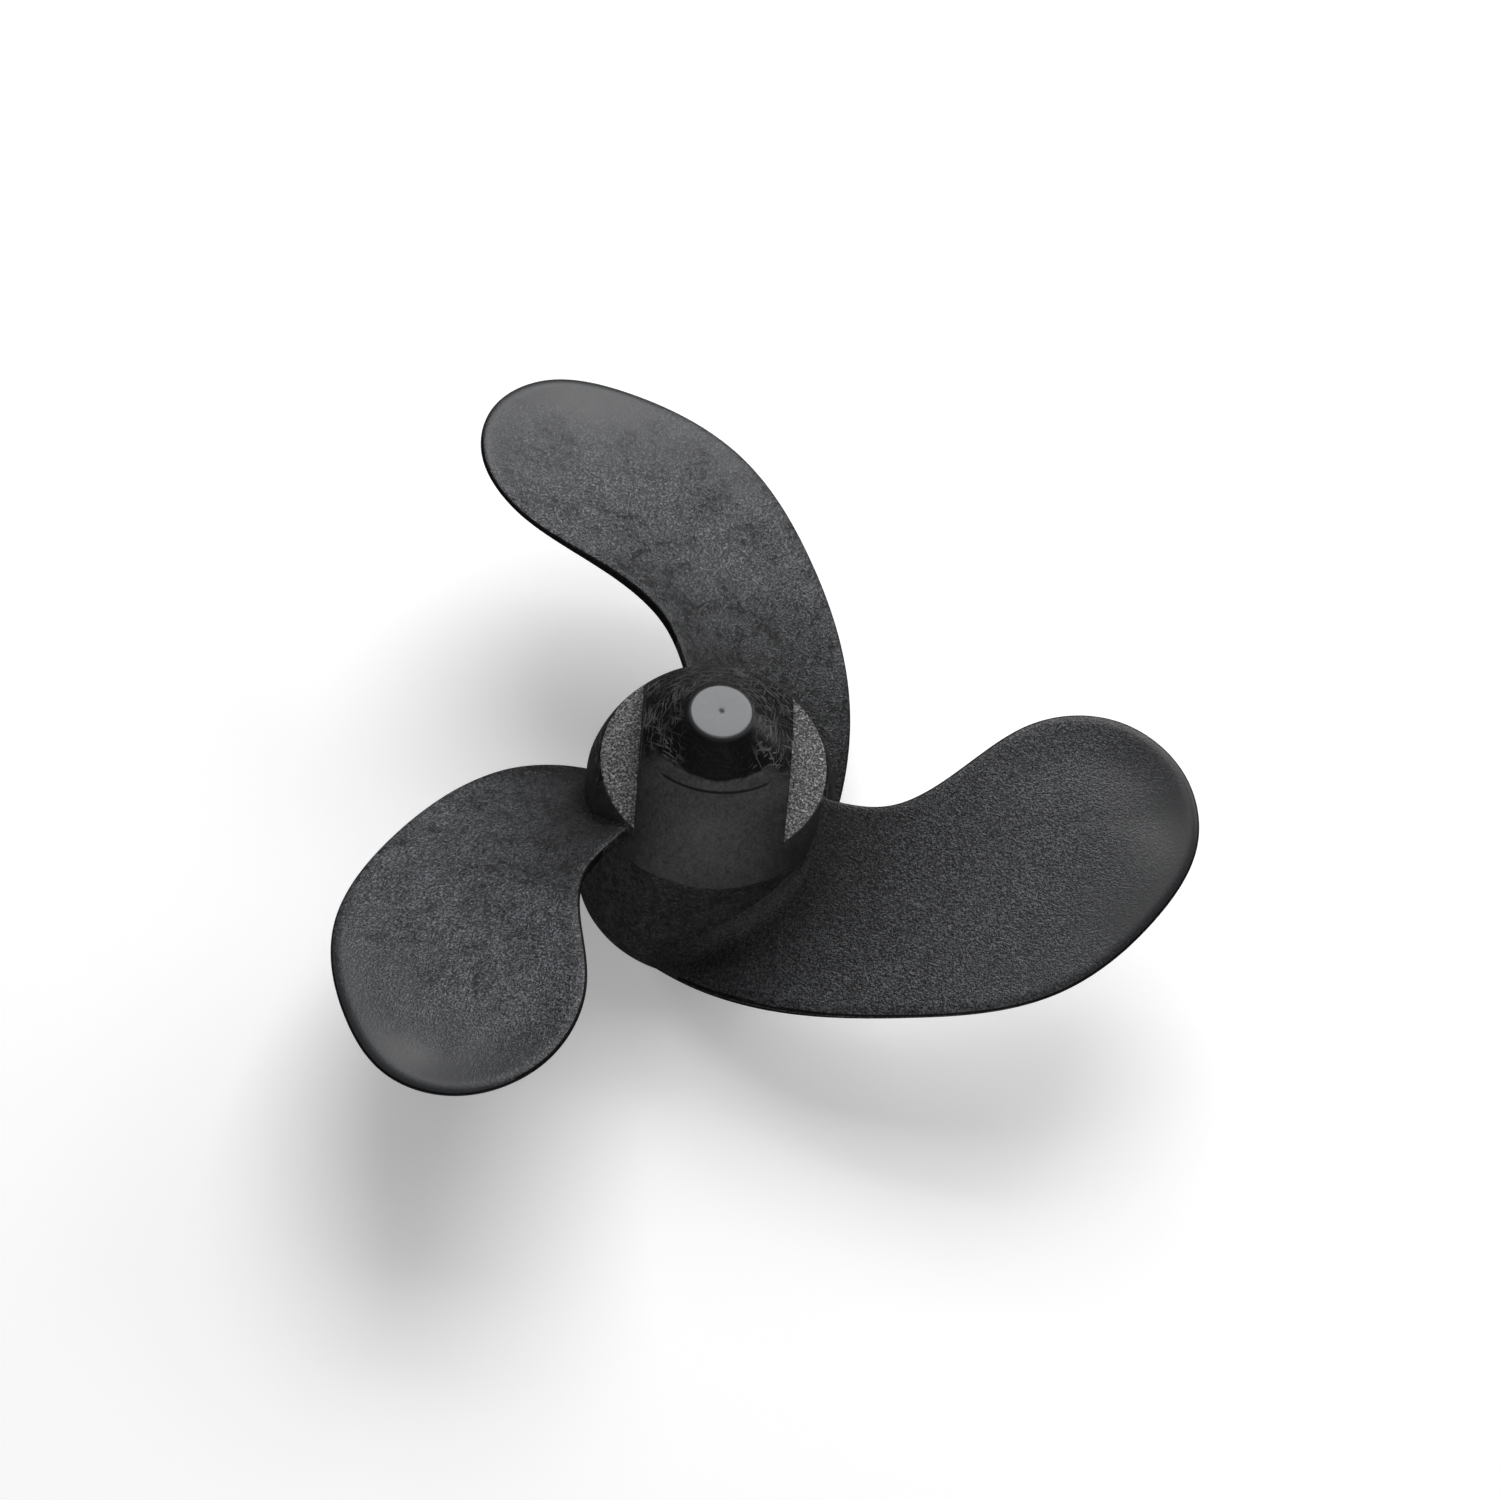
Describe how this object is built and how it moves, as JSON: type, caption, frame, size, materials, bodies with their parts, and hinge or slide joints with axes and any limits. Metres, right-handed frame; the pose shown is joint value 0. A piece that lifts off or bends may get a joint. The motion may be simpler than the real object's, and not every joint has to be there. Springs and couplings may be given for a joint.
{
  "type": "propeller",
  "caption": "Small outboard propeller in black plastic: swept blades on a domed hub with a closed, side-cut nose, bored for a shaft, a drive pin and a split pin.",
  "frame": {"origin": "on the shaft axis, in the plane of the hub's front rim and the bore's mouth", "axes": "+Z along the shaft from the front rim, which faces the gearcase, to the closed nose; +X and -X square to the nose's two flat sides, and along the split-pin hole; +Y along the drive-pin slot"},
  "size_m": [0.1629, 0.1678, 0.0595],
  "materials": {
    "moulding": "black fibre-filled moulding, finely mottled, worn smooth round the nose",
    "plug": "smooth mid-grey face with a small centre dimple",
    "bush_metal": "plain turned metal"
  },
  "bodies": {
    "shaft_sleeve": {"shaft_bush": "bush_metal"},
    "propeller": {"hub": "moulding", "blade_1": "moulding", "blade_2": "moulding", "blade_3": "moulding", "nose_plug": "plug"}
  },
  "joints": [
    {"name": "propeller_spin", "type": "hinge", "parent": "shaft_sleeve", "child": "propeller", "pos_m": [0, 0, 0], "axis": [0, 0, 1], "continuous": true}
  ]
}
